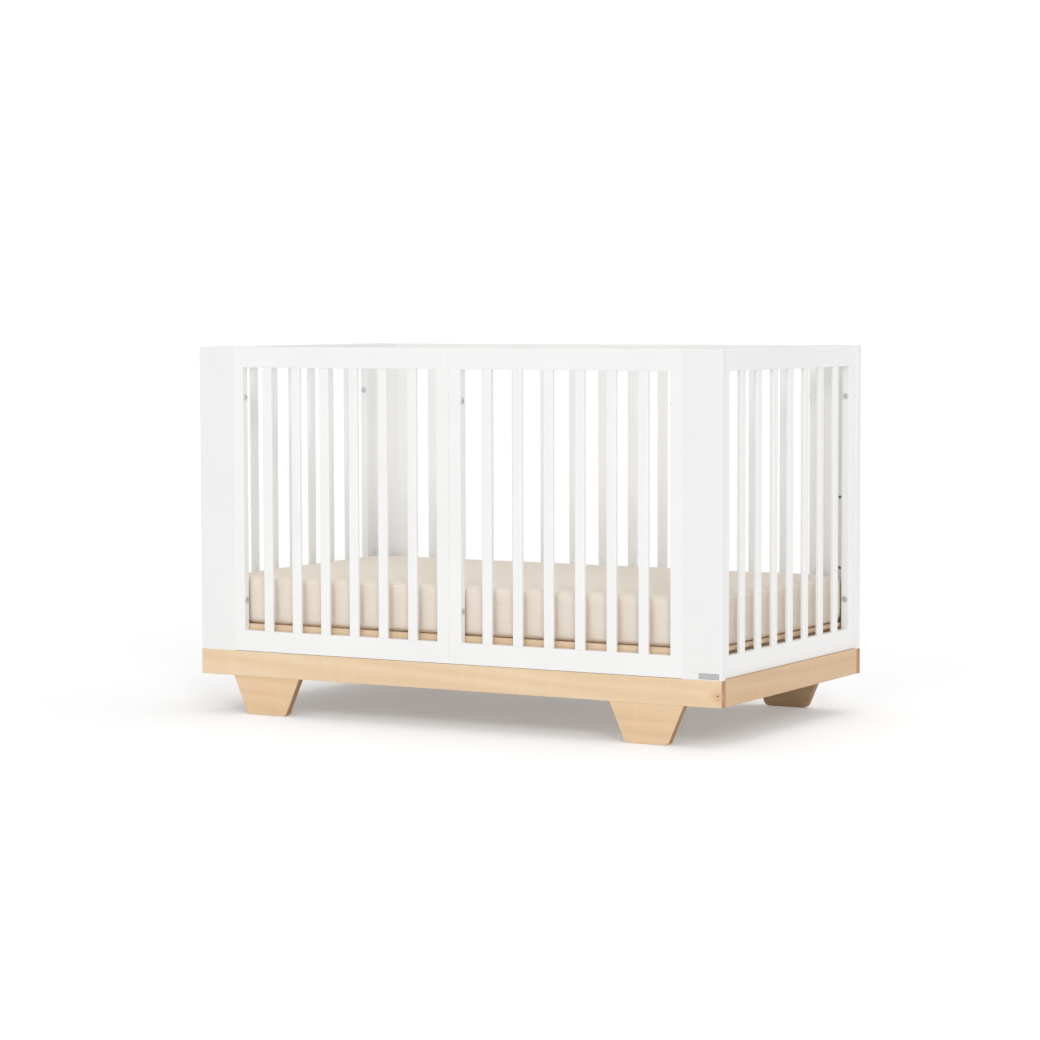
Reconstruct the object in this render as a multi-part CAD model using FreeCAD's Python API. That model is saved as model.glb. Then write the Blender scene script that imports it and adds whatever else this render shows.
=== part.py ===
import FreeCAD, Part
import os
from math import cos, pi, sin

# Baby crib. Slatted panels are bolted between four corner boards, which stand on a
# birch plinth with four board legs. Inside, a slatted mattress support hangs on four
# shoulder bolts, at the lowest of three heights, and carries the mattress.
# Millimetres. X runs along the crib, the front faces -Y, +Z is up, and the origin is
# the middle of the footprint, on the floor.

V = FreeCAD.Vector

# Overall size
LENGTH = 1390.0
WIDTH = 756.0
HEIGHT = 877.0

# Board thicknesses
PANEL_BOARD = 18.0
PLINTH_BOARD = 20.0
SUPPORT_BOARD = 18.0

# Heights above the floor
LEG_HEIGHT = 91.0
PLINTH_TOP = 151.0
PANEL_BOTTOM = 152.0
OPENING_BOTTOM = 201.0
OPENING_TOP = 828.0
BOLT_HEIGHTS = (273.0, 757.0)
SUPPORT_HEIGHTS = (174.0, 344.0, 514.0)

# Widths seen on the faces
CORNER_BOARD_WIDTH = 98.0
OUTER_STILE = 28.0
CENTRE_STILE = 32.0
END_STILE = 35.0
END_RECESS = 8.0
CENTRE_SEAM = 0.2

# Slats of the panels
SLAT_WIDTH = 25.0
SLAT_THICKNESS = 10.0
SLAT_ROUND = 3.0
FRONT_SLATS = 6
BACK_SLATS = 13
END_SLATS = 7
TENON_WIDTH = 17.0
TENON_THICKNESS = 6.0
TENON_LENGTH = 12.0

# Edge rounding
TOP_ROUND = 2.5
CORNER_ROUND = 3.0
EASE = 0.8
SEAM_EASE = 0.4

# Legs: trapezoid boards, wide at the top
LEG_MIDDLE = 509.0
LEG_TOP_WIDTH = 187.0
LEG_BOTTOM_WIDTH = 108.0
LEG_CORNER_ROUND = 15.0
LEG_EASE = 2.0
LEG_BOLT_SPACING = 90.0

# Mattress support and mattress
SUPPORT_TOP = 215.0
SUPPORT_RAIL_HEIGHT = 60.0
SUPPORT_SIDE_GAP = 2.5
SUPPORT_END_GAP = 5.0
SUPPORT_SLATS = 11
SUPPORT_SLAT_WIDTH = 62.0
SUPPORT_SLAT_THICKNESS = 8.0
BATTEN = 20.0
BATTEN_INSET = 12.0
END_RAIL_INSET = 46.0
MATTRESS_LENGTH = 1322.0
MATTRESS_WIDTH = 706.0
MATTRESS_THICKNESS = 114.0
MATTRESS_CORNER = 24.0
MATTRESS_TOP_ROUND = 10.0
MATTRESS_BOTTOM_ROUND = 12.0

# Hardware
BOLT_RADIUS = 3.0
BOLT_HOLE = 3.3
HEAD_RADIUS = 7.5
HEAD_THICKNESS = 2.0
SOCKET_RADIUS = 2.3
SOCKET_DEPTH = 1.5
BARREL_RADIUS = 5.0
BARREL_LENGTH = 14.0
BARREL_HOLE_DEPTH = 16.5
INSERT_RADIUS = 5.0
INSERT_LENGTH = 13.0
BOLT_IN_INSERT = 10.0
DOWEL_RADIUS = 4.0
DOWEL_IN_STILE = 15.0
DOWEL_IN_RAIL = 25.0
DOWEL_SPACING = 22.0
PLINTH_DOWEL = 40.0
FIT_GAP = 0.1
SHOULDER_RADIUS = 4.0
SHOULDER_HEAD_RADIUS = 8.0
SHOULDER_HEAD = 3.0
SLIDE_GAP = 0.3
SUPPORT_BOLT_X = 649.0
LABEL = (50.0, 1.0, 13.0)
LABEL_INSET = 6.0

# Worked out from the sizes above
HALF_LENGTH = LENGTH / 2
HALF_WIDTH = WIDTH / 2
BOARD_EDGE = HALF_LENGTH - CORNER_BOARD_WIDTH
END_FACE = HALF_LENGTH - END_RECESS
END_INSIDE = END_FACE - PANEL_BOARD
INSIDE_WIDTH = HALF_WIDTH - PANEL_BOARD
OPENING_X = BOARD_EDGE - OUTER_STILE
OPENING_Y = INSIDE_WIDTH - END_STILE
MIDDLE_DEPTH = PANEL_BOARD / 2

nodes = {}


def box(low, high):
    size = V(*high) - V(*low)
    return Part.makeBox(size.x, size.y, size.z, V(*low))


def rod(start, axis, radius, length):
    return Part.makeCylinder(radius, length, V(*start), V(*axis))


def rounded(shape, radius, wanted):
    """Round the straight edges for which wanted(middle, direction) is true."""
    chosen = []
    for edge in shape.Edges:
        if len(edge.Vertexes) < 2:
            continue
        along = (edge.Vertexes[1].Point - edge.Vertexes[0].Point).normalize()
        if wanted(edge.CenterOfMass, along):
            chosen.append(edge)
    return shape.makeFillet(radius, chosen)


def runs_along(direction, axis):
    return abs(abs(direction.dot(axis)) - 1) < 1e-6


def near(value, target):
    return abs(value - target) < 1e-3


def drill(tool, *names):
    """Cut a hole through the named nodes."""
    for name in names:
        nodes[name] = nodes[name].cut(tool)


# Panels are drawn in their own frame: X along the panel, Y inwards from the outer face.

def turned(shape, degrees, offset):
    shape = shape.copy()
    shape.rotate(V(0, 0, 0), V(0, 0, 1), degrees)
    shape.translate(V(*offset))
    return shape


def tenons(middle):
    """The two tenons that hold one slat in the rails."""
    low = (SLAT_THICKNESS - TENON_THICKNESS) / 2
    spans = ((OPENING_BOTTOM - TENON_LENGTH, OPENING_BOTTOM),
             (OPENING_TOP, OPENING_TOP + TENON_LENGTH))
    return [box((middle - TENON_WIDTH / 2, low, bottom),
                (middle + TENON_WIDTH / 2, low + TENON_THICKNESS, top))
            for bottom, top in spans]


def slat(middle):
    """One slat, flush with the outer face of its panel."""
    body = box((middle - SLAT_WIDTH / 2, 0, OPENING_BOTTOM),
               (middle + SLAT_WIDTH / 2, SLAT_THICKNESS, OPENING_TOP))
    body = rounded(body, SLAT_ROUND, lambda at, along: runs_along(along, V(0, 0, 1)))
    return body.fuse(tenons(middle))


def panel_frame(left, right, open_left, open_right):
    """The glued frame round the slats, with eased edges, as one solid."""
    frame = box((left, 0, PANEL_BOTTOM), (right, PANEL_BOARD, HEIGHT))
    frame = frame.cut(box((open_left, -1, OPENING_BOTTOM), (open_right, PANEL_BOARD + 1, OPENING_TOP)))

    def top_edge(at, along):
        return runs_along(along, V(1, 0, 0)) and near(at.z, HEIGHT)

    def opening_edge(at, along):
        inside = open_left - 1 < at.x < open_right + 1 and OPENING_BOTTOM - 1 < at.z < OPENING_TOP + 1
        return inside and not runs_along(along, V(0, 1, 0))

    def side_edge(at, along):
        return runs_along(along, V(0, 0, 1)) and (near(at.x, left) or near(at.x, right))

    frame = rounded(frame, TOP_ROUND, top_edge)
    frame = rounded(frame, EASE, opening_edge)
    return rounded(frame, SEAM_EASE, side_edge)


def slat_middles(open_left, open_right, count):
    gap = (open_right - open_left - count * SLAT_WIDTH) / (count + 1)
    return [open_left + gap + SLAT_WIDTH / 2 + i * (gap + SLAT_WIDTH) for i in range(count)]


def frame_dowels(open_left, open_right):
    """Dowels that join the rails to the stiles: (height, start, direction)."""
    rails = ((PANEL_BOTTOM + OPENING_BOTTOM) / 2, (OPENING_TOP + HEIGHT) / 2)
    places = []
    for rail in rails:
        for height in (rail - DOWEL_SPACING / 2, rail + DOWEL_SPACING / 2):
            places.append((open_left - DOWEL_IN_STILE, height))
            places.append((open_right - DOWEL_IN_RAIL, height))
    return places


def slatted_panel(name, span, stile_names, stile_widths, count, degrees, offset):
    """Make one panel: two stiles, two rails and its slats, each its own solid."""
    left, right = span
    open_left = left + stile_widths[0]
    open_right = right - stile_widths[1]
    middles = slat_middles(open_left, open_right, count)
    frame = panel_frame(left, right, open_left, open_right)
    for middle in middles:
        frame = frame.cut(Part.makeCompound(tenons(middle)))
    length = DOWEL_IN_STILE + DOWEL_IN_RAIL
    dowels = []
    for start, height in frame_dowels(open_left, open_right):
        at = (start, MIDDLE_DEPTH, height)
        frame = frame.cut(rod(at, (1, 0, 0), DOWEL_RADIUS + FIT_GAP, length))
        dowels.append(rod(at, (1, 0, 0), DOWEL_RADIUS, length))

    def part_of_frame(x0, x1, z0, z1):
        return frame.common(box((x0, -1, z0), (x1, PANEL_BOARD + 1, z1)))

    low, high = PANEL_BOTTOM - 1, HEIGHT + 1
    pieces = {
        stile_names[0]: part_of_frame(left - 1, open_left, low, high),
        stile_names[1]: part_of_frame(open_right, right + 1, low, high),
        "bottom_rail": part_of_frame(open_left, open_right, low, OPENING_BOTTOM),
        "top_rail": part_of_frame(open_left, open_right, OPENING_TOP, high),
        "slats": Part.makeCompound([slat(middle) for middle in middles]),
    }
    for part, shape in pieces.items():
        nodes[name + "_" + part] = turned(shape, degrees, offset)
    return [turned(dowel, degrees, offset) for dowel in dowels]


def make_panels():
    front = (0, -HALF_WIDTH, 0)
    back = (0, HALF_WIDTH, 0)
    seam = CENTRE_SEAM / 2
    ends = (-INSIDE_WIDTH, INSIDE_WIDTH)
    end_stiles = (END_STILE, END_STILE)
    dowels = slatted_panel("front_left", (-BOARD_EDGE, -seam), ("outer_stile", "centre_stile"),
                           (OUTER_STILE, CENTRE_STILE), FRONT_SLATS, 0, front)
    dowels += slatted_panel("front_right", (seam, BOARD_EDGE), ("centre_stile", "outer_stile"),
                            (CENTRE_STILE, OUTER_STILE), FRONT_SLATS, 0, front)
    dowels += slatted_panel("back", (-BOARD_EDGE, BOARD_EDGE), ("right_stile", "left_stile"),
                            (OUTER_STILE, OUTER_STILE), BACK_SLATS, 180, back)
    dowels += slatted_panel("left_end", ends, ("back_stile", "front_stile"), end_stiles,
                            END_SLATS, -90, (-END_FACE, 0, 0))
    dowels += slatted_panel("right_end", ends, ("front_stile", "back_stile"), end_stiles,
                            END_SLATS, 90, (END_FACE, 0, 0))
    nodes["panel_dowels"] = Part.makeCompound(dowels)


# The four corners, as (name, sign of X, sign of Y)
CORNERS = (("front_left", -1, -1), ("front_right", 1, -1), ("back_left", -1, 1), ("back_right", 1, 1))


def mirrored(shape, side_x, side_y):
    """Copy a shape from the back right corner to another one."""
    if side_x < 0:
        shape = shape.mirror(V(0, 0, 0), V(1, 0, 0))
    if side_y < 0:
        shape = shape.mirror(V(0, 0, 0), V(0, 1, 0))
    return shape


def make_corner_boards():
    board = box((BOARD_EDGE, INSIDE_WIDTH, PLINTH_TOP), (HALF_LENGTH, HALF_WIDTH, HEIGHT))

    def top_edge(at, along):
        return near(at.z, HEIGHT) and not (near(at.x, BOARD_EDGE) or near(at.y, INSIDE_WIDTH))

    def outer_edge(at, along):
        return runs_along(along, V(0, 0, 1)) and near(at.x, HALF_LENGTH) and near(at.y, HALF_WIDTH)

    def inner_edge(at, along):
        return runs_along(along, V(0, 0, 1)) and near(at.x, BOARD_EDGE)

    board = rounded(board, CORNER_ROUND, outer_edge)
    board = rounded(board, TOP_ROUND, top_edge)
    board = rounded(board, SEAM_EASE, inner_edge)
    for name, side_x, side_y in CORNERS:
        nodes[name + "_corner_board"] = mirrored(board, side_x, side_y)


def make_label():
    """A blank plate let into the foot of the front right corner board."""
    right = HALF_LENGTH - LABEL_INSET
    bottom = PLINTH_TOP + 2.0
    plate = box((right - LABEL[0], -HALF_WIDTH, bottom),
                (right, -HALF_WIDTH + LABEL[1], bottom + LABEL[2]))
    drill(plate, "front_right_corner_board")
    nodes["label_plate"] = rounded(plate, 0.3, lambda at, along: near(at.y, -HALF_WIDTH))


def make_plinth():
    """Long rails with the short ones between them."""
    def outer(at, along):
        return near(abs(at.y), HALF_WIDTH) and not near(abs(at.x), HALF_LENGTH)

    long_rail = box((-HALF_LENGTH, HALF_WIDTH - PLINTH_BOARD, LEG_HEIGHT),
                    (HALF_LENGTH, HALF_WIDTH, PLINTH_TOP))
    long_rail = rounded(long_rail, EASE, outer)
    nodes["plinth_back_rail"] = long_rail
    nodes["plinth_front_rail"] = long_rail.mirror(V(0, 0, 0), V(0, 1, 0))
    inside = HALF_WIDTH - PLINTH_BOARD
    short_rail = box((HALF_LENGTH - PLINTH_BOARD, -inside, LEG_HEIGHT), (HALF_LENGTH, inside, PLINTH_TOP))
    short_rail = rounded(short_rail, EASE,
                         lambda at, along: runs_along(along, V(0, 1, 0)) and near(at.x, HALF_LENGTH))
    nodes["plinth_right_rail"] = short_rail
    nodes["plinth_left_rail"] = short_rail.mirror(V(0, 0, 0), V(1, 0, 0))


def make_legs():
    top = LEG_TOP_WIDTH / 2
    foot = LEG_BOTTOM_WIDTH / 2
    inside = HALF_WIDTH - PLINTH_BOARD
    corners = [V(LEG_MIDDLE - top, inside, LEG_HEIGHT), V(LEG_MIDDLE + top, inside, LEG_HEIGHT),
               V(LEG_MIDDLE + foot, inside, 0), V(LEG_MIDDLE - foot, inside, 0)]
    outline = Part.makePolygon(corners + corners[:1])
    leg = Part.Face(outline).extrude(V(0, PLINTH_BOARD, 0))
    leg = rounded(leg, LEG_CORNER_ROUND,
                  lambda at, along: runs_along(along, V(0, 1, 0)) and near(at.z, 0))
    leg = rounded(leg, LEG_EASE,
                  lambda at, along: at.z < LEG_HEIGHT - 1 and not runs_along(along, V(0, 1, 0)))
    for name, side_x, side_y in CORNERS:
        nodes[name + "_leg"] = mirrored(leg, side_x, side_y)


def make_support():
    """The frame, battens and slats that carry the mattress."""
    side = INSIDE_WIDTH - SUPPORT_SIDE_GAP
    inner_side = side - SUPPORT_BOARD
    end = END_INSIDE - SUPPORT_END_GAP
    slat_bottom = SUPPORT_TOP - SUPPORT_SLAT_THICKNESS
    batten_bottom = slat_bottom - BATTEN
    rail = box((-end, inner_side, SUPPORT_TOP - SUPPORT_RAIL_HEIGHT), (end, side, SUPPORT_TOP))
    rail = rounded(rail, EASE, lambda at, along: runs_along(along, V(1, 0, 0)))
    for bolt_x in (-SUPPORT_BOLT_X, SUPPORT_BOLT_X):
        rail = rail.cut(shoulder_slot(bolt_x, inner_side, side))
    nodes["support_back_rail"] = rail
    nodes["support_front_rail"] = rail.mirror(V(0, 0, 0), V(0, 1, 0))
    reach = end - BATTEN_INSET
    batten = box((-reach, inner_side - BATTEN, batten_bottom), (reach, inner_side, slat_bottom))
    nodes["support_back_batten"] = batten
    nodes["support_front_batten"] = batten.mirror(V(0, 0, 0), V(0, 1, 0))
    between = inner_side - BATTEN
    outer = end - END_RAIL_INSET
    inner = outer - SUPPORT_BOARD
    end_rail = box((inner, -between, batten_bottom), (outer, between, slat_bottom))
    nodes["support_right_rail"] = end_rail
    nodes["support_left_rail"] = end_rail.mirror(V(0, 0, 0), V(1, 0, 0))
    nodes["support_centre_rail"] = box((-inner, -BATTEN, batten_bottom), (inner, BATTEN, slat_bottom))
    pitch = (2 * end - SUPPORT_SLAT_WIDTH) / (SUPPORT_SLATS - 1)

    def long_top_edge(at, along):
        return runs_along(along, V(0, 1, 0)) and near(at.z, SUPPORT_TOP)

    slats = []
    for i in range(SUPPORT_SLATS):
        left = -end + i * pitch
        board = box((left, -inner_side, slat_bottom), (left + SUPPORT_SLAT_WIDTH, inner_side, SUPPORT_TOP))
        slats.append(rounded(board, EASE, long_top_edge))
    nodes["support_slats"] = Part.makeCompound(slats)


def shoulder_slot(bolt_x, low_y, high_y):
    """Open-bottomed slot that lets a support rail lift off its shoulder bolt."""
    radius = SHOULDER_RADIUS + SLIDE_GAP
    height = SUPPORT_HEIGHTS[0]
    foot = SUPPORT_TOP - SUPPORT_RAIL_HEIGHT - 1
    round_top = rod((bolt_x, low_y - 1, height), (0, 1, 0), radius, high_y - low_y + 2)
    straight = box((bolt_x - radius, low_y - 1, foot), (bolt_x + radius, high_y + 1, height))
    return round_top.fuse(straight)


def make_mattress():
    half_x = MATTRESS_LENGTH / 2
    half_y = MATTRESS_WIDTH / 2
    top = SUPPORT_TOP + MATTRESS_THICKNESS
    body = box((-half_x, -half_y, SUPPORT_TOP), (half_x, half_y, top))
    body = rounded(body, MATTRESS_CORNER, lambda at, along: runs_along(along, V(0, 0, 1)))
    body = rounded(body, MATTRESS_TOP_ROUND, lambda at, along: near(at.z, top))
    nodes["mattress"] = rounded(body, MATTRESS_BOTTOM_ROUND, lambda at, along: near(at.z, SUPPORT_TOP))


# Hardware. Each maker takes a point and a unit axis that points into the wood.

def step(point, axis, distance):
    return tuple(p + a * distance for p, a in zip(point, axis))


def hexagon(point, axis, depth):
    """A hexagonal socket, cut from the outside of a head."""
    across = V(0, 0, 1) if abs(axis[2]) < 0.5 else V(1, 0, 0)
    other = V(*axis).cross(across)
    corners = []
    for i in range(7):
        angle = i * pi / 3
        spoke = across * cos(angle) + other * sin(angle)
        corners.append(V(*point) + spoke * SOCKET_RADIUS)
    return Part.Face(Part.makePolygon(corners)).extrude(V(*axis) * depth)


def bolt(point, axis, length, head_radius=HEAD_RADIUS, head=HEAD_THICKNESS):
    """A flat-headed socket bolt whose head rests at point, outside the wood."""
    outside = step(point, axis, -head)
    cap = rod(outside, axis, head_radius, head)
    rim = [edge for edge in cap.Edges if len(edge.Vertexes) == 1
           and near((edge.CenterOfMass - V(*outside)).Length, 0)]
    cap = cap.makeFillet(head * 0.6, rim)
    cap = cap.cut(hexagon(outside, axis, SOCKET_DEPTH))
    return cap.fuse(rod(point, axis, BOLT_RADIUS, length))


def barrel_nut(middle, axis, bolt_axis):
    """A cross dowel along axis, with its threaded hole across it."""
    body = rod(step(middle, axis, -BARREL_LENGTH / 2), axis, BARREL_RADIUS, BARREL_LENGTH)
    side = step(middle, bolt_axis, -2 * BARREL_RADIUS)
    return body.cut(rod(side, bolt_axis, BOLT_RADIUS + FIT_GAP, 4 * BARREL_RADIUS))


def insert(point, axis):
    """A threaded insert let in flush at point."""
    sleeve = rod(point, axis, INSERT_RADIUS, INSERT_LENGTH)
    return sleeve.cut(rod(point, axis, BOLT_RADIUS + FIT_GAP, INSERT_LENGTH))


def bolt_into_board(start, axis, stile, stile_width, board):
    """Bolt a stile to a corner board: drill both, and make the bolt and the insert that takes it."""
    face = step(start, axis, stile_width)
    drill(rod(start, axis, BOLT_HOLE, stile_width), stile)
    drill(rod(face, axis, INSERT_RADIUS, INSERT_LENGTH), board)
    return bolt(start, axis, stile_width + BOLT_IN_INSERT), insert(face, axis)


def make_panel_bolts():
    """Bolts from the front, back and end panels into inserts in the corner boards."""
    panel_bolts = []
    end_bolts = []
    inserts = []
    for name, side_x, side_y in CORNERS:
        board = name + "_corner_board"
        stile = name + ("_outer_stile" if side_y < 0 else "_stile")
        end_stile = ("left_end" if side_x < 0 else "right_end")
        end_stile += ("_front_stile" if side_y < 0 else "_back_stile")
        depth = side_y * (HALF_WIDTH - MIDDLE_DEPTH)
        end_depth = side_x * (END_FACE - MIDDLE_DEPTH)
        for height in BOLT_HEIGHTS:
            start = (side_x * OPENING_X, depth, height)
            made, sleeve = bolt_into_board(start, (side_x, 0, 0), stile, OUTER_STILE, board)
            panel_bolts.append(made)
            inserts.append(sleeve)
            start = (end_depth, side_y * OPENING_Y, height)
            made, sleeve = bolt_into_board(start, (0, side_y, 0), end_stile, END_STILE, board)
            end_bolts.append(made)
            inserts.append(sleeve)
    nodes["panel_bolts"] = Part.makeCompound(panel_bolts)
    nodes["end_bolts"] = Part.makeCompound(end_bolts)
    nodes["panel_inserts"] = Part.makeCompound(inserts)


def make_centre_bolts():
    """Bolts and sleeve nuts that join the two front panels at their middle stiles."""
    sleeve = 22.0
    cap = 6.0
    face = CENTRE_SEAM / 2 + CENTRE_STILE
    bolts = []
    nuts = []
    for height in BOLT_HEIGHTS:
        start = (face, -HALF_WIDTH + MIDDLE_DEPTH, height)
        end = (-face, -HALF_WIDTH + MIDDLE_DEPTH, height)
        axis = (1, 0, 0)
        hole = rod(start, (-1, 0, 0), BOLT_HOLE, 2 * face)
        drill(hole, "front_left_centre_stile", "front_right_centre_stile")
        drill(rod(end, axis, BARREL_RADIUS + FIT_GAP, sleeve + 1), "front_left_centre_stile")
        bolts.append(bolt(start, (-1, 0, 0), 2 * face - 2 * cap))
        nut = bolt(end, axis, 1.0).fuse(rod(end, axis, BARREL_RADIUS, sleeve))
        thread = rod(step(end, axis, cap), axis, BOLT_RADIUS + FIT_GAP, sleeve)
        nuts.append(nut.cut(thread))
    nodes["centre_bolts"] = Part.makeCompound(bolts)
    nodes["centre_sleeve_nuts"] = Part.makeCompound(nuts)


def make_support_bolts():
    """Shoulder bolts under the support, and inserts for its three heights."""
    bolts = []
    inserts = []
    reach = SUPPORT_SIDE_GAP + SUPPORT_BOARD + SLIDE_GAP
    for name, side_x, side_y in CORNERS:
        axis = (0, side_y, 0)
        for height in SUPPORT_HEIGHTS:
            face = (side_x * SUPPORT_BOLT_X, side_y * INSIDE_WIDTH, height)
            drill(rod(face, axis, INSERT_RADIUS, INSERT_LENGTH), name + "_corner_board")
            inserts.append(insert(face, axis))
        face = (side_x * SUPPORT_BOLT_X, side_y * INSIDE_WIDTH, SUPPORT_HEIGHTS[0])
        start = step(face, axis, -reach)
        shoulder = rod(start, axis, SHOULDER_RADIUS, reach)
        head = bolt(start, axis, reach + 10.0, SHOULDER_HEAD_RADIUS, SHOULDER_HEAD)
        bolts.append(head.fuse(shoulder))
    nodes["support_bolts"] = Part.makeCompound(bolts)
    nodes["support_inserts"] = Part.makeCompound(inserts)


def make_plinth_hardware():
    """Bolts and dowels that join the plinth to the corner boards and the legs, and its rails."""
    recess = HEAD_THICKNESS + 1.0
    board_bolt = 85.0
    leg_bolt = 98.0
    dowel_in_long_rail = 12.0
    bolts = []
    dowels = []
    nuts = []
    for name, side_x, side_y in CORNERS:
        board = name + "_corner_board"
        leg = name + "_leg"
        rail = "plinth_front_rail" if side_y < 0 else "plinth_back_rail"
        depth = side_y * (HALF_WIDTH - MIDDLE_DEPTH)

        foot = (side_x * (BOARD_EDGE + 28.0), depth, LEG_HEIGHT + recess)
        drill(rod((foot[0], foot[1], LEG_HEIGHT), (0, 0, 1), HEAD_RADIUS + 0.3, recess), rail)
        drill(rod(foot, (0, 0, 1), BOLT_HOLE, board_bolt + 2), rail, board)
        nut = step(foot, (0, 0, 1), board_bolt - 8)
        drill(rod((nut[0], side_y * INSIDE_WIDTH, nut[2]), (0, side_y, 0),
                  BARREL_RADIUS + FIT_GAP, BARREL_HOLE_DEPTH), board)
        bolts.append(bolt(foot, (0, 0, 1), board_bolt))
        nuts.append(barrel_nut(nut, (0, side_y, 0), (0, 0, 1)))

        for inset in (11.0, CORNER_BOARD_WIDTH - 25.0):
            start = (side_x * (BOARD_EDGE + inset), depth, PLINTH_TOP - PLINTH_DOWEL / 2)
            drill(rod(start, (0, 0, 1), DOWEL_RADIUS + FIT_GAP, PLINTH_DOWEL), rail, board)
            dowels.append(rod(start, (0, 0, 1), DOWEL_RADIUS, PLINTH_DOWEL))

        short_rail = "plinth_left_rail" if side_x < 0 else "plinth_right_rail"
        middle = (LEG_HEIGHT + PLINTH_TOP) / 2
        for height in (middle - DOWEL_SPACING / 2, middle + DOWEL_SPACING / 2):
            start = (side_x * (HALF_LENGTH - PLINTH_BOARD / 2),
                     side_y * (HALF_WIDTH - PLINTH_BOARD + dowel_in_long_rail), height)
            drill(rod(start, (0, -side_y, 0), DOWEL_RADIUS + FIT_GAP, PLINTH_DOWEL), rail, short_rail)
            dowels.append(rod(start, (0, -side_y, 0), DOWEL_RADIUS, PLINTH_DOWEL))

        leg_depth = side_y * (HALF_WIDTH - PLINTH_BOARD / 2)
        for offset in (-LEG_BOLT_SPACING / 2, LEG_BOLT_SPACING / 2):
            top = (side_x * (LEG_MIDDLE + offset), leg_depth, PLINTH_TOP - recess)
            drill(rod(top, (0, 0, 1), HEAD_RADIUS + 0.3, recess), rail)
            drill(rod(top, (0, 0, -1), BOLT_HOLE, leg_bolt + 2), rail, leg)
            nut = step(top, (0, 0, -1), leg_bolt - 8)
            drill(rod((nut[0], side_y * (HALF_WIDTH - PLINTH_BOARD), nut[2]), (0, side_y, 0),
                      BARREL_RADIUS + FIT_GAP, BARREL_HOLE_DEPTH + 1), leg)
            bolts.append(bolt(top, (0, 0, -1), leg_bolt))
            nuts.append(barrel_nut(nut, (0, side_y, 0), (0, 0, 1)))
    nodes["plinth_bolts"] = Part.makeCompound(bolts)
    nodes["plinth_dowels"] = Part.makeCompound(dowels)
    nodes["barrel_nuts"] = Part.makeCompound(nuts)


def main():
    make_panels()
    make_corner_boards()
    make_label()
    make_plinth()
    make_legs()
    make_support()
    make_mattress()
    make_panel_bolts()
    make_centre_bolts()
    make_support_bolts()
    make_plinth_hardware()
    os.makedirs("parts", exist_ok=True)
    for name, shape in nodes.items():
        shape.exportStep("parts/" + name + ".step")


main()
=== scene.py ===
import math

import bmesh
import bpy
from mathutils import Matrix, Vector, noise


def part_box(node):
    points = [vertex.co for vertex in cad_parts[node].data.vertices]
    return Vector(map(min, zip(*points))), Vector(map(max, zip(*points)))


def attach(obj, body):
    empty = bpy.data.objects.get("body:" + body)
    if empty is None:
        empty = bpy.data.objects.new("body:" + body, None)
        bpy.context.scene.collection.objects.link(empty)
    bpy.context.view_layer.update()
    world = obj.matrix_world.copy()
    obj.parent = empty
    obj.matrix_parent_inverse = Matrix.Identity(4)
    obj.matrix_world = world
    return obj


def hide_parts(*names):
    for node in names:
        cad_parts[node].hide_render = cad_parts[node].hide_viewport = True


# The looks of a white slatted baby crib on a birch plinth: lacquer, wood, metal and a
# mattress in a fitted cotton cover, with the floor, the lights and the camera.

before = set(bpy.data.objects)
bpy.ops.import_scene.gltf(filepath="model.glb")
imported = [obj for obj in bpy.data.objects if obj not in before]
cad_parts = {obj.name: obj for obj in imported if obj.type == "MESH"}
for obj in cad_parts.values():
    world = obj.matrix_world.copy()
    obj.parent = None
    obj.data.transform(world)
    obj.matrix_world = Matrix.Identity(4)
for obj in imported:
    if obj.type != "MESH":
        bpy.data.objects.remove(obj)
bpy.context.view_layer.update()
scene = bpy.context.scene


# Materials

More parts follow.
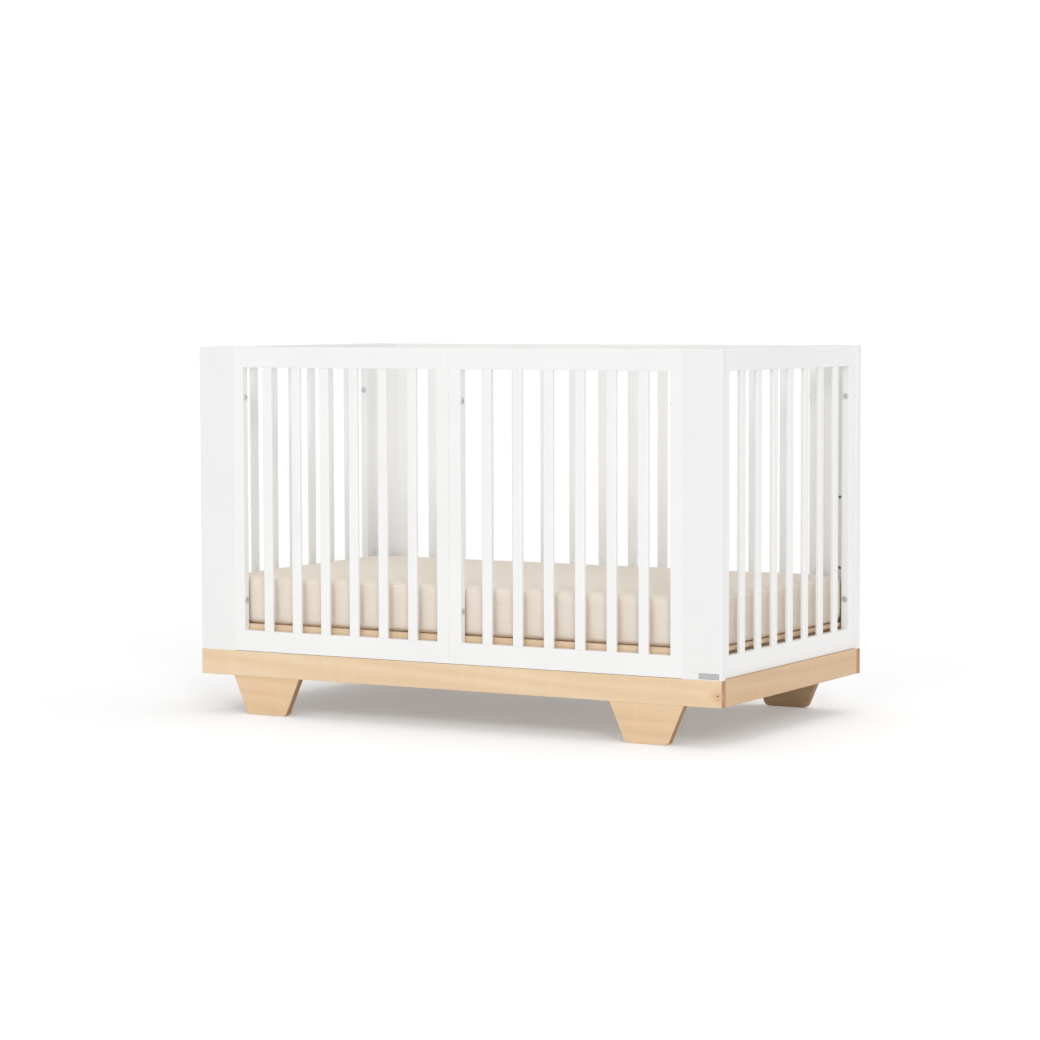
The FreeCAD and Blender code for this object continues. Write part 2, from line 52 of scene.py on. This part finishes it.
class Graph:
    """The nodes of one material, made with short calls."""

    def __init__(self, name):
        self.material = bpy.data.materials.new(name)
        self.material.use_nodes = True
        self.tree = self.material.node_tree
        self.shader = self.tree.nodes["Principled BSDF"]
        self.place = self.node("ShaderNodeTexCoord").outputs["Object"]

    def node(self, kind, **settings):
        made = self.tree.nodes.new(kind)
        for key, value in settings.items():
            setattr(made, key, value)
        return made

    def put(self, socket, value):
        if isinstance(value, bpy.types.NodeSocket):
            self.tree.links.new(value, socket)
        else:
            socket.default_value = value

    def math(self, operation, a, b=0.0, clamp=False):
        made = self.node("ShaderNodeMath", operation=operation, use_clamp=clamp)
        self.put(made.inputs[0], a)
        self.put(made.inputs[1], b)
        return made.outputs[0]

    def vector(self, operation, a, b=(0, 0, 0)):
        made = self.node("ShaderNodeVectorMath", operation=operation)
        self.put(made.inputs[0], a)
        self.put(made.inputs[1], b)
        return made.outputs["Value" if operation in ("LENGTH", "DISTANCE", "DOT_PRODUCT") else "Vector"]

    def stretched(self, scale, offset=(0, 0, 0), source=None):
        made = self.node("ShaderNodeMapping")
        self.put(made.inputs["Vector"], source or self.place)
        made.inputs["Scale"].default_value = scale
        made.inputs["Location"].default_value = offset
        return made.outputs["Vector"]

    def noise(self, place, scale, detail=3.0, roughness=0.5, distortion=0.0):
        made = self.node("ShaderNodeTexNoise")
        self.put(made.inputs["Vector"], place)
        made.inputs["Scale"].default_value = scale
        made.inputs["Detail"].default_value = detail
        made.inputs["Roughness"].default_value = roughness
        made.inputs["Distortion"].default_value = distortion
        return made.outputs["Fac"]

    def wave(self, place, scale, kind="BANDS", direction="X", distortion=0.0, detail=2.0,
             detail_scale=1.0):
        made = self.node("ShaderNodeTexWave", wave_type=kind)
        setattr(made, kind.lower() + "_direction", direction)
        self.put(made.inputs["Vector"], place)
        made.inputs["Scale"].default_value = scale
        made.inputs["Distortion"].default_value = distortion
        made.inputs["Detail"].default_value = detail
        made.inputs["Detail Scale"].default_value = detail_scale
        return made.outputs["Fac"]

    def span(self, value, low, high, to_low=0.0, to_high=1.0):
        made = self.node("ShaderNodeMapRange", interpolation_type="SMOOTHSTEP")
        self.put(made.inputs["Value"], value)
        self.put(made.inputs["From Min"], low)
        self.put(made.inputs["From Max"], high)
        self.put(made.inputs["To Min"], to_low)
        self.put(made.inputs["To Max"], to_high)
        return made.outputs["Result"]

    def mix(self, amount, a, b, blend="MIX"):
        made = self.node("ShaderNodeMix", data_type="RGBA", blend_type=blend)
        self.put(made.inputs["Factor"], amount)
        self.put(made.inputs["A"], a if isinstance(a, bpy.types.NodeSocket) else (*a, 1.0))
        self.put(made.inputs["B"], b if isinstance(b, bpy.types.NodeSocket) else (*b, 1.0))
        return made.outputs["Result"]

    def bump(self, height, distance, strength=1.0, under=None):
        made = self.node("ShaderNodeBump")
        self.put(made.inputs["Height"], height)
        made.inputs["Distance"].default_value = distance
        made.inputs["Strength"].default_value = strength
        if under:
            self.put(made.inputs["Normal"], under)
        return made.outputs["Normal"]

    def facing(self, axis):
        """How squarely the surface faces along an axis of the part, from 0 to 1."""
        normal = self.node("ShaderNodeTexCoord").outputs["Normal"]
        return self.math("ABSOLUTE", self.vector("DOT_PRODUCT", normal, axis))

    def corner(self, radius):
        """1 on edges and corners, 0 on flat faces."""
        soft = self.node("ShaderNodeBevel", samples=4)
        soft.inputs["Radius"].default_value = radius
        flat = self.node("ShaderNodeNewGeometry").outputs["Normal"]
        alike = self.vector("DOT_PRODUCT", soft.outputs["Normal"], flat)
        return self.span(alike, 0.985, 0.80)

    def finish(self, colour, roughness, normal=None, **constants):
        self.put(self.shader.inputs["Base Color"], colour)
        self.put(self.shader.inputs["Roughness"], roughness)
        if normal:
            self.put(self.shader.inputs["Normal"], normal)
        for key, value in constants.items():
            self.shader.inputs[key.replace("_", " ")].default_value = value
        return self.material


AXES = {"x": (1, 0, 0), "y": (0, 1, 0), "z": (0, 0, 1)}


def along(axis, lengthwise, across):
    """A scale that is lengthwise along one axis and across along the other two."""
    return tuple(lengthwise if one else across for one in AXES[axis])


def lacquer(name, axis, white):
    """Satin white lacquer, with the grain of the board only just showing through."""
    g = Graph(name)
    grain = g.noise(g.stretched(along(axis, 9.0, 260.0)), 1.0, 4.0, 0.6)
    skin = g.noise(g.place, 420.0, 2.0, 0.5)
    cloud = g.noise(g.place, 5.0, 3.0, 0.5)
    colour = g.mix(g.span(cloud, 0.3, 0.7), white, tuple(c * 1.022 for c in white))
    colour = g.mix(g.span(grain, 0.35, 0.75, 0.0, 0.10), colour, tuple(c * 0.92 for c in white))
    colour = g.mix(g.math("MULTIPLY", g.corner(0.0016), 0.22), colour, (0.74, 0.735, 0.72))
    rough = g.math("ADD", g.span(cloud, 0.3, 0.7, 0.33, 0.40), g.span(skin, 0.3, 0.7, 0.0, 0.06))
    normal = g.bump(grain, 0.00003, 0.5)
    normal = g.bump(skin, 0.00002, 0.5, normal)
    return g.finish(colour, rough, normal, Coat_Weight=0.25, Coat_Roughness=0.22)


def birch(name, axis, light, dark, end, seed, gloss=0.42, knot=None):
    """Clear-finished birch with its grain along one axis, and end grain where it is cut across."""
    g = Graph(name)
    shift = tuple(7.3 * seed + k for k in (0.0, 1.7, 3.1))
    tall = g.stretched(along(axis, 0.9, 14.0), shift)
    bend = g.noise(tall, 1.0, 2.0, 0.5)
    figure = g.wave(g.stretched(along(axis, 0.5, 9.0), shift), 1.6, "BANDS", "DIAGONAL", 9.0, 3.0, 0.8)
    fibre = g.noise(g.stretched(along(axis, 14.0, 900.0), shift), 1.0, 4.0, 0.65)
    pores = g.noise(g.stretched(along(axis, 55.0, 1500.0), shift), 1.0, 2.0, 0.5)
    fleck = g.noise(g.stretched(along(axis, 60.0, 330.0), shift), 1.0, 1.0, 0.4)
    curl = g.noise(g.stretched(along(axis, 42.0, 8.0), shift), 1.0, 2.0, 0.5)
    mottle = g.noise(g.stretched(along(axis, 5.0, 22.0), shift), 1.0, 3.0, 0.55)

    tone = g.math("MULTIPLY", figure, 0.38)
    tone = g.math("ADD", tone, g.math("MULTIPLY", bend, 0.34))
    tone = g.math("ADD", tone, g.math("MULTIPLY", mottle, 0.30))
    tone = g.math("ADD", tone, g.math("MULTIPLY", g.math("SUBTRACT", fibre, 0.5), 0.42))
    colour = g.mix(g.span(tone, 0.20, 0.95, 0.12, 0.88), light, dark)
    colour = g.mix(g.span(curl, 0.45, 0.75, 0.0, 0.10), colour, tuple(min(1.0, c * 1.22) for c in light))
    streak = tuple(c * 0.62 for c in dark)
    colour = g.mix(g.span(pores, 0.62, 0.80, 0.0, 0.28), colour, streak)
    colour = g.mix(g.span(fleck, 0.72, 0.80, 0.0, 0.16), colour, streak)

    rings = g.wave(g.stretched(along(axis, 0.0, 1.0), (0.0, 0.021, 0.013)), 90.0, "RINGS",
                   axis.upper(), 3.5, 2.0, 14.0)
    dots = g.noise(g.place, 1700.0, 1.0, 0.5)
    cut = g.mix(g.span(rings, 0.1, 0.9), end, tuple(c * 0.78 for c in end))
    cut = g.mix(g.span(dots, 0.56, 0.72, 0.0, 0.45), cut, tuple(c * 0.5 for c in end))
    across = g.span(g.facing(AXES[axis]), 0.55, 0.80)
    colour = g.mix(across, colour, cut)

    if knot:
        spot, radius = knot
        from_knot = g.vector("SUBTRACT", g.place, spot)
        away = g.vector("LENGTH", g.stretched((0.8, 1.0, 1.1), source=from_knot))
        away = g.math("ADD", away, g.math("MULTIPLY", g.noise(g.place, 160.0, 2.0), radius * 0.9))
        halo = g.span(away, radius * 7.0, radius * 1.5, 0.0, 0.55)
        colour = g.mix(halo, colour, tuple(c * f for c, f in zip(dark, (0.92, 0.74, 0.58))))
        curve = g.wave(g.stretched((0.8, 1.0, 1.1), source=from_knot), 75.0, "RINGS", "SPHERICAL",
                       1.2, 2.0, 30.0)
        colour = g.mix(g.math("MULTIPLY", g.math("MULTIPLY", halo, curve), 0.5), colour, streak)
        heart = g.span(away, radius * 1.5, radius * 0.9)
        colour = g.mix(heart, colour, (0.26, 0.10, 0.045))

    colour = g.mix(g.math("MULTIPLY", g.corner(0.0012), 0.30), colour, tuple(c * 0.72 for c in dark))
    rough = g.math("ADD", g.span(fibre, 0.3, 0.7, gloss, gloss + 0.08), g.math("MULTIPLY", across, 0.16))
    height = g.math("ADD", fibre, g.math("MULTIPLY", pores, 0.5))
    normal = g.bump(height, 0.00010, 0.7)
    normal = g.bump(g.math("MULTIPLY", dots, across), 0.00015, 0.8, normal)
    return g.finish(colour, rough, normal, Coat_Weight=0.12, Coat_Roughness=0.30)


def zinc(name, light=(0.83, 0.83, 0.83)):
    """Bright zinc plate, faintly clouded, with turning marks, and painted shade that darkens its edges,
    corners and sockets.
    """
    g = Graph(name)
    cloud = g.noise(g.place, 180.0, 3.0, 0.6)
    turned = g.noise(g.stretched((2600.0, 300.0, 2600.0)), 1.0, 2.0, 0.6)
    colour = g.mix(g.span(cloud, 0.3, 0.75), light, tuple(c * 0.72 for c in light))
    # Painted shade: the edges, corners and sockets of the zinc parts are darkened almost to black, as if
    # in shade.
    painted_edge_shade = g.math("MULTIPLY", g.corner(0.0017), 0.9)
    colour = g.mix(painted_edge_shade, colour, tuple(c * 0.22 for c in light))
    rough = g.math("ADD", g.span(cloud, 0.3, 0.7, 0.26, 0.42), g.math("MULTIPLY", turned, 0.10))
    return g.finish(colour, rough, g.bump(turned, 0.00004, 0.6), Metallic=1.0)


def brushed_plate():
    """The blank plate: satin metal brushed along its length, with painted shade darkening its rim."""
    g = Graph("label_plate_metal")
    low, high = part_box("label_plate")
    lines = g.noise(g.stretched((60.0, 900.0, 6000.0)), 1.0, 3.0, 0.6)
    centre = [(a + b) / 2 for a, b in zip(low, high)]
    from_middle = g.node("ShaderNodeSeparateXYZ")
    g.put(from_middle.inputs[0], g.vector("SUBTRACT", g.place, tuple(centre)))
    out_x = g.math("ABSOLUTE", from_middle.outputs["X"])
    out_z = g.math("ABSOLUTE", from_middle.outputs["Z"])
    half_x = (high[0] - low[0]) / 2
    half_z = (high[2] - low[2]) / 2
    # Painted shade: a darker band round the edge of the plate stands in for a shaded bevel.
    painted_rim_shade = g.math("MAXIMUM", g.span(out_x, half_x - 0.0012, half_x - 0.0006),
                 g.span(out_z, half_z - 0.0012, half_z - 0.0006))
    colour = g.mix(g.span(lines, 0.3, 0.7), (0.56, 0.56, 0.555), (0.46, 0.46, 0.455))
    colour = g.mix(g.math("MULTIPLY", painted_rim_shade, 0.5), colour, (0.24, 0.24, 0.24))
    rough = g.span(lines, 0.3, 0.7, 0.34, 0.48)
    return g.finish(colour, rough, g.bump(lines, 0.00003, 0.6), Metallic=0.3)


def cotton(name, light, shade):
    """Closely woven cotton: two crossed threads, slubs and a soft nap."""
    g = Graph(name)
    split = g.node("ShaderNodeSeparateXYZ")
    g.put(split.inputs[0], g.place)
    pitch = 2 * math.pi / 0.00075
    wobble = g.math("MULTIPLY", g.noise(g.place, 240.0, 2.0), 1.6)
    waves = []
    for axis in "XYZ":
        turned = g.math("ADD", g.math("MULTIPLY", split.outputs[axis], pitch), wobble)
        waves.append(g.math("SINE", turned))
    normal_of = g.node("ShaderNodeSeparateXYZ")
    g.put(normal_of.inputs[0], g.node("ShaderNodeTexCoord").outputs["Normal"])
    sides = [g.math("ABSOLUTE", normal_of.outputs[axis]) for axis in "XYZ"]
    on_top = g.math("MULTIPLY", g.math("MULTIPLY", waves[0], waves[1]), g.span(sides[2], 0.5, 0.8))
    on_front = g.math("MULTIPLY", g.math("MULTIPLY", waves[0], waves[2]), g.span(sides[1], 0.5, 0.8))
    on_end = g.math("MULTIPLY", g.math("MULTIPLY", waves[1], waves[2]), g.span(sides[0], 0.5, 0.8))
    weave = g.math("ADD", g.math("ADD", on_top, on_front), on_end)
    slub_x = g.noise(g.stretched((14.0, 520.0, 520.0)), 1.0, 2.0, 0.6)
    slub_y = g.noise(g.stretched((520.0, 14.0, 520.0)), 1.0, 2.0, 0.6)
    slub = g.math("ADD", slub_x, slub_y)
    cloud = g.noise(g.place, 6.0, 4.0, 0.55)
    nap = g.noise(g.place, 2600.0, 2.0, 0.7)
    uneven = g.math("MULTIPLY", g.math("SUBTRACT", slub, 1.0), 0.8)
    tone = g.math("ADD", g.math("MULTIPLY", weave, 0.16), uneven)
    colour = g.mix(g.span(tone, -0.35, 0.35), shade, light)
    colour = g.mix(g.span(cloud, 0.3, 0.7, 0.0, 0.22), colour, tuple(c * 0.93 for c in light))
    colour = g.mix(g.span(nap, 0.55, 0.8, 0.0, 0.15), colour, tuple(min(1, c * 1.12) for c in light))
    normal = g.bump(weave, 0.00012, 0.6)
    normal = g.bump(slub, 0.00018, 0.5, normal)
    normal = g.bump(nap, 0.00008, 0.4, normal)
    rough = g.span(slub, 0.7, 1.3, 0.84, 0.94)
    return g.finish(colour, rough, normal, Sheen_Weight=0.12, Sheen_Roughness=0.45,
                    Specular_IOR_Level=0.25)


def thread(name, colour):
    """Sewing thread, twisted."""
    g = Graph(name)
    twist = g.wave(g.place, 900.0, "BANDS", "DIAGONAL", 2.0)
    fuzz = g.noise(g.place, 3000.0, 2.0)
    shade = g.mix(g.span(twist, 0.2, 0.8), colour, tuple(c * 0.75 for c in colour))
    return g.finish(shade, g.span(fuzz, 0.3, 0.7, 0.7, 0.9), g.bump(twist, 0.0002, 0.7))


def cover(node, material):
    """Give a CAD node its material."""
    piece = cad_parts[node]
    for slot in piece.material_slots:
        slot.material = material


WHITE = (0.866, 0.866, 0.861)
BOARD_WHITE = (0.832, 0.832, 0.828)
LACQUER = {axis: lacquer("white_lacquer_" + axis, axis, WHITE) for axis in "xyz"}
BOARD_LACQUER = lacquer("white_lacquer_boards", "z", BOARD_WHITE)
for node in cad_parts:
    if node.endswith("corner_board"):
        cover(node, BOARD_LACQUER)
    elif node.endswith(("stile", "slats")) and not node.startswith("support"):
        cover(node, LACQUER["z"])
    elif node.endswith(("top_rail", "bottom_rail")):
        cover(node, LACQUER["y" if "end" in node else "x"])

BIRCH_LIGHT = (0.83, 0.64, 0.43)
BIRCH_DARK = (0.76, 0.545, 0.33)
BIRCH_END = (0.53, 0.295, 0.15)
# Painted shade: the plinth's side rails get a darker copy of the birch, standing in for the shade on the
# plinth's ends.
SHADED_SIDE_RAIL_LIGHT = (0.69, 0.485, 0.295)
SHADED_SIDE_RAIL_DARK = (0.63, 0.41, 0.225)
LEG_LIGHT = (0.79, 0.585, 0.37)
LEG_DARK = (0.71, 0.49, 0.28)
low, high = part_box("plinth_front_rail")
KNOT = ((high[0] - 0.0094, low[1], low[2] + 0.0265), 0.0033)
PLINTH = {"plinth_front_rail": ("x", KNOT), "plinth_back_rail": ("x", None),
          "plinth_left_rail": ("y", None), "plinth_right_rail": ("y", None)}
for seed, (node, (axis, knot)) in enumerate(PLINTH.items()):
    # The side rails take the darker birch tones, which are painted shade.
    tones = (BIRCH_LIGHT, BIRCH_DARK) if axis == "x" else (SHADED_SIDE_RAIL_LIGHT, SHADED_SIDE_RAIL_DARK)
    cover(node, birch(node + "_birch", axis, *tones, BIRCH_END, seed + 1, knot=knot))
for seed, corner_name in enumerate(("front_left", "front_right", "back_left", "back_right")):
    node = corner_name + "_leg"
    cover(node, birch(node + "_birch", "x", LEG_LIGHT, LEG_DARK, BIRCH_END, seed + 11))

SUPPORT_LIGHT = (0.80, 0.62, 0.43)
SUPPORT_DARK = (0.72, 0.52, 0.33)
SUPPORT_END = (0.52, 0.33, 0.19)
for seed, (kind, axis) in enumerate((("support_long", "x"), ("support_cross", "y"))):
    made = birch(kind + "_birch", axis, SUPPORT_LIGHT, SUPPORT_DARK, SUPPORT_END, seed + 21, gloss=0.5)
    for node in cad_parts:
        if node.startswith("support") and "bolts" not in node and "inserts" not in node:
            crosswise = node.endswith(("slats", "left_rail", "right_rail"))
            if crosswise == (axis == "y"):
                cover(node, made)

for node in ("panel_dowels", "plinth_dowels"):
    cover(node, birch(node + "_beech", "x" if node == "panel_dowels" else "z",
                      (0.74, 0.55, 0.38), (0.66, 0.46, 0.30), (0.50, 0.33, 0.20), 31, gloss=0.55))
ZINC = zinc("zinc_plate")
for node in ("panel_bolts", "end_bolts", "centre_bolts", "centre_sleeve_nuts", "support_bolts",
             "plinth_bolts", "barrel_nuts", "panel_inserts", "support_inserts"):
    cover(node, ZINC)
cover("label_plate", brushed_plate())


# Mattress

COVER_LIGHT = (0.855, 0.775, 0.685)
COVER_SHADE = (0.79, 0.70, 0.60)
SLATS = {"front_left": 6, "front_right": 6, "back": 13, "left_end": 7, "right_end": 7}
SLAT_WIDTH = 0.025
OUTER_HOLD = 0.585
CENTRE_HOLD = 0.016
END_HOLD_BEYOND = 0.02
COVER_INSET = Vector((0.001, 0.001, 0.0))
COVER_CORNER = 0.013
COVER_EDGE = 0.008
VOXEL = 0.009
SWELL_PRESSURE = 4.0
SWELL_FRAMES = 16
SWELL_CAP = 0.002
BULGE = 0.005
LONG_GROOVE = (0.0035, 0.008)
END_GROOVE = (0.008, 0.012)
SEAM_DEPTH = 0.0034
SEAM_WIDTH = 0.0035
COTTON = cotton("cover_cotton", COVER_LIGHT, COVER_SHADE)
THREAD = thread("cover_thread", (0.74, 0.65, 0.54))


def rounded_slab(name, low, high, corner, edge):
    """A slab with upright corners and softly rounded edges, as a closed mesh."""
    mesh = bmesh.new()
    bmesh.ops.create_cube(mesh, size=1.0)
    size = high - low
    for v in mesh.verts:
        v.co = Vector(((v.co[i] + 0.5) * size[i] + low[i]) for i in range(3))
    upright = [e for e in mesh.edges if abs(e.verts[0].co.z - e.verts[1].co.z) > size.z / 2]
    bmesh.ops.bevel(mesh, geom=upright, offset=corner, segments=10, profile=0.5, affect="EDGES")
    level = [e for e in mesh.edges if abs(e.verts[0].co.z - e.verts[1].co.z) < 1e-6
             and len({round(f.normal.z) for f in e.link_faces}) > 1]
    bmesh.ops.bevel(mesh, geom=level, offset=edge, segments=6, profile=0.5, affect="EDGES")
    data = bpy.data.meshes.new(name)
    mesh.to_mesh(data)
    mesh.free()
    piece = bpy.data.objects.new(name, data)
    scene.collection.objects.link(piece)
    return piece


def apply_modifiers(piece):
    graph = bpy.context.evaluated_depsgraph_get()
    data = bpy.data.meshes.new_from_object(piece.evaluated_get(graph))
    piece.modifiers.clear()
    piece.data = data


def swell(piece, pressure, frames, cap):
    """Blow a closed cover up a little with a cloth simulation, each point moving no more than cap."""
    start = [v.co.copy() for v in piece.data.vertices]
    cloth = piece.modifiers.new("Cloth", "CLOTH")
    settings = cloth.settings
    settings.quality = 5
    settings.mass = 0.25
    settings.tension_stiffness = 12
    settings.compression_stiffness = 12
    settings.bending_stiffness = 1.2
    settings.use_pressure = True
    settings.uniform_pressure_force = pressure
    settings.effector_weights.gravity = 0
    cloth.point_cache.frame_start = 1
    cloth.point_cache.frame_end = frames
    for step in range(1, frames + 1):
        scene.frame_set(step)
    apply_modifiers(piece)
    scene.frame_set(1)
    for v, before in zip(piece.data.vertices, start):
        move = v.co - before
        if move.length > cap:
            v.co = before + move.normalized() * cap


def make_mattress():
    """A foam mattress in a fitted cover: firm sides, small round edges and a seam along the top edge."""
    low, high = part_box("mattress")
    bottom = low + COVER_INSET + Vector((0, 0, 0.0005))
    top = high - COVER_INSET - Vector((0, 0, 0.002))
    piece = rounded_slab("mattress_cover", bottom, top, COVER_CORNER, COVER_EDGE)
    remesh = piece.modifiers.new("Remesh", "REMESH")
    remesh.mode = "VOXEL"
    remesh.voxel_size = VOXEL
    apply_modifiers(piece)
    swell(piece, SWELL_PRESSURE, SWELL_FRAMES, SWELL_CAP)
    split_top_edge(piece, high.z - 0.020)
    smooth = piece.modifiers.new("Smooth", "SUBSURF")
    smooth.levels = 1
    smooth.render_levels = 1
    apply_modifiers(piece)
    wrinkle(piece, low, high)
    for polygon in piece.data.polygons:
        polygon.use_smooth = True
    piece.data.materials.clear()
    piece.data.materials.append(COTTON)
    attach(piece, "mattress")
    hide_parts("mattress")
    return piece


def split_top_edge(piece, above):
    """Halve the faces round the top edge, so that they can hold the seam."""
    low = Vector(piece.bound_box[0])
    high = Vector(piece.bound_box[6])
    reach = 0.030
    mesh = bmesh.new()
    mesh.from_mesh(piece.data)
    edges = set()
    for face in mesh.faces:
        at = face.calc_center_median()
        beside = min(at.x - low.x, high.x - at.x, at.y - low.y, high.y - at.y)
        if at.z > above and beside < reach:
            edges.update(face.edges)
    bmesh.ops.subdivide_edges(mesh, edges=list(edges), cuts=1, use_grid_fill=True)
    mesh.to_mesh(piece.data)
    mesh.free()


def holds(panel, axis, before, after):
    """Positions along a side that hold the mattress back: the slats of a panel, and one either side."""
    low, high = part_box(panel + "_slats")
    first = low[axis] + SLAT_WIDTH / 2
    step = (high[axis] - low[axis] - SLAT_WIDTH) / (SLATS[panel] - 1)
    return [before] + [first + i * step for i in range(SLATS[panel])] + [after]


def between_slats(at, places, groove):
    """How far the side of the mattress stands out: out between the slats, in behind them."""
    sink, width = groove
    out = -sink * math.exp(-(min(abs(at - place) for place in places) / width) ** 2)
    for left, right in zip(places, places[1:]):
        if left < at < right:
            out += BULGE * (1 - (abs(2 * at - left - right) / (right - left)) ** 3)
    return out


def wrinkle(piece, low, high):
    """Press the sides out between the slats, sink the top seam and lay the small folds of the cover."""
    front = holds("front_left", 0, -OUTER_HOLD, -CENTRE_HOLD)
    front += holds("front_right", 0, CENTRE_HOLD, OUTER_HOLD)
    back = holds("back", 0, -OUTER_HOLD, OUTER_HOLD)
    left = holds("left_end", 1, low.y - END_HOLD_BEYOND, high.y + END_HOLD_BEYOND)
    right = holds("right_end", 1, low.y - END_HOLD_BEYOND, high.y + END_HOLD_BEYOND)
    middle = (low + high) / 2
    half = (high - low) / 2
    corners = [Vector((middle.x + sx * half.x, middle.y + sy * half.y, 0))
               for sx in (-1, 1) for sy in (-1, 1)]
    normals = [v.normal.copy() for v in piece.data.vertices]
    side = max(v.co.y for v in piece.data.vertices) - middle.y
    end = max(v.co.x for v in piece.data.vertices) - middle.x
    top = max(v.co.z for v in piece.data.vertices)
    for v, normal in zip(piece.data.vertices, normals):
        p = v.co.copy()
        rise = (p.z - low.z) / (high.z - low.z)
        edge = min(end - abs(p.x - middle.x), side - abs(p.y - middle.y))
        beside = max(0.0, 1.0 - edge / 0.03)
        near = min((Vector((p.x, p.y, 0)) - c).length for c in corners)
        fan = math.exp(-(near / 0.16) ** 2)
        pull = noise.noise(Vector((p.x * 26, p.y * 26, p.z * 6)))
        slack = noise.noise(Vector((p.x * 9 + 4, p.y * 9, p.z * 22)))
        push = beside * (0.0014 * fan * pull + 0.0009 * slack * (1.2 - rise))
        on_top = max(0.0, rise - 0.9) / 0.1
        push += on_top * 0.0007 * noise.noise(Vector((p.x * 5, p.y * 7, 3.0)))
        under = top - p.z
        if edge < 0.016 and under < 0.016:
            pinch = 0.8 + 0.35 * noise.noise(Vector((p.x * 60, p.y * 60, 7.0)))
            push -= SEAM_DEPTH * pinch * math.exp(-((edge - under - 0.001) / SEAM_WIDTH) ** 2)
        out = max(0.0, 1 - edge / 0.012) * max(0.0, 1 - (2 * rise - 1) ** 4)
        v.co = p + normal * push
        if end - abs(p.x - middle.x) < side - abs(p.y - middle.y):
            places = right if p.x > middle.x else left
            v.co.x += math.copysign(out, p.x - middle.x) * between_slats(p.y, places, END_GROOVE)
        else:
            places = back if p.y > middle.y else front
            v.co.y += math.copysign(out, p.y - middle.y) * between_slats(p.x, places, LONG_GROOVE)
        v.co.z = min(max(v.co.z, low.z + 0.0003), high.z + 0.004)


def seam_line(name, points, radius, material):
    """A thin raised seam that follows points."""
    curve = bpy.data.curves.new(name, "CURVE")
    curve.dimensions = "3D"
    curve.bevel_depth = radius
    curve.bevel_resolution = 2
    spline = curve.splines.new("POLY")
    spline.points.add(len(points) - 1)
    for target, p in zip(spline.points, points):
        target.co = (*p, 1.0)
    piece = bpy.data.objects.new(name, curve)
    curve.materials.append(material)
    scene.collection.objects.link(piece)
    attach(piece, "mattress")
    return piece


def make_seams(mattress):
    """Upright corner seams of the fitted cover, laid on its surface."""
    low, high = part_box("mattress")
    middle = (low + high) / 2
    for name, sx, sy in (("front_left", -1, -1), ("front_right", 1, -1),
                         ("back_left", -1, 1), ("back_right", 1, 1)):
        inner = Vector((middle.x + sx * ((high.x - low.x) / 2 - 0.06),
                        middle.y + sy * ((high.y - low.y) / 2 - 0.06), 0))
        points = []
        for i in range(40):
            height = low.z + 0.008 + i * (high.z - low.z - 0.012) / 39
            origin = Vector((inner.x + sx * 0.2, inner.y + sy * 0.2, height))
            inwards = Vector((-sx, -sy, 0)).normalized()
            hit, at, normal, _ = mattress.ray_cast(origin, inwards, distance=1.0)
            if hit:
                points.append(at + normal * 0.0002)
        seam_line("cover_seam_" + name, points, 0.0009, THREAD)


mattress = make_mattress()
make_seams(mattress)


# Floor, lights and camera

def make_floor():
    mesh = bpy.data.meshes.new("floor")
    mesh.from_pydata([(-40, -40, 0), (40, -40, 0), (40, 60, 0), (-40, 60, 0)], [], [(0, 1, 2, 3)])
    floor = bpy.data.objects.new("floor", mesh)
    scene.collection.objects.link(floor)
    g = Graph("pale_floor")
    cloud = g.noise(g.place, 1.5, 2.0)
    speck = g.noise(g.place, 60.0, 2.0)
    seen = g.node("ShaderNodeLightPath").outputs["Is Camera Ray"]
    colour = g.mix(g.span(cloud, 0.3, 0.7), (0.94, 0.94, 0.94), (0.955, 0.955, 0.955))
    colour = g.mix(seen, colour, (0.73, 0.73, 0.73))
    g.put(g.shader.inputs["Emission Strength"], g.math("MULTIPLY", seen, 0.275))
    material = g.finish(colour, g.span(speck, 0.3, 0.7, 0.85, 0.95), Specular_IOR_Level=0.1,
                        Emission_Color=(1.0, 1.0, 1.0, 1.0))
    floor.data.materials.append(material)
    floor.location.z = -0.0002


def make_world(strength, seen):
    """White surroundings, brighter to the eye than as a light."""
    world = bpy.data.worlds.new("studio")
    world.use_nodes = True
    scene.world = world
    tree = world.node_tree
    background = tree.nodes["Background"]
    background.inputs["Color"].default_value = (1, 1, 1, 1)
    path = tree.nodes.new("ShaderNodeLightPath")
    amount = tree.nodes.new("ShaderNodeMapRange")
    amount.inputs["To Min"].default_value = strength
    amount.inputs["To Max"].default_value = seen
    tree.links.new(path.outputs["Is Camera Ray"], amount.inputs["Value"])
    tree.links.new(amount.outputs["Result"], background.inputs["Strength"])


def make_sun(name, around, up, angle, power):
    """A wide soft light a long way off, around degrees to the right of the front and up degrees high."""
    data = bpy.data.lights.new(name, "SUN")
    data.angle = math.radians(angle)
    data.energy = power
    lamp = bpy.data.objects.new(name, data)
    level = math.cos(math.radians(up))
    towards = Vector((level * math.sin(math.radians(around)), -level * math.cos(math.radians(around)),
                      math.sin(math.radians(up))))
    lamp.rotation_euler = towards.to_track_quat("Z", "Y").to_euler()
    scene.collection.objects.link(lamp)


def make_camera():
    data = bpy.data.cameras.new("camera")
    data.sensor_width = 36.0
    data.lens = 106.44
    camera = bpy.data.objects.new("camera", data)
    camera.location = (3.6275, -6.4026, 0.9641)
    camera.rotation_euler = (math.radians(86.081), math.radians(0.147), math.radians(29.711))
    scene.collection.objects.link(camera)
    scene.camera = camera


make_floor()
make_world(0.63, 1.05)
make_sun("overhead", 140, 73, 60, 0.65)
make_sun("right_front", 40, 28, 16, 0.72)
make_sun("front", 8, 35, 25, 0.40)
make_camera()
scene.view_settings.view_transform = "Standard"
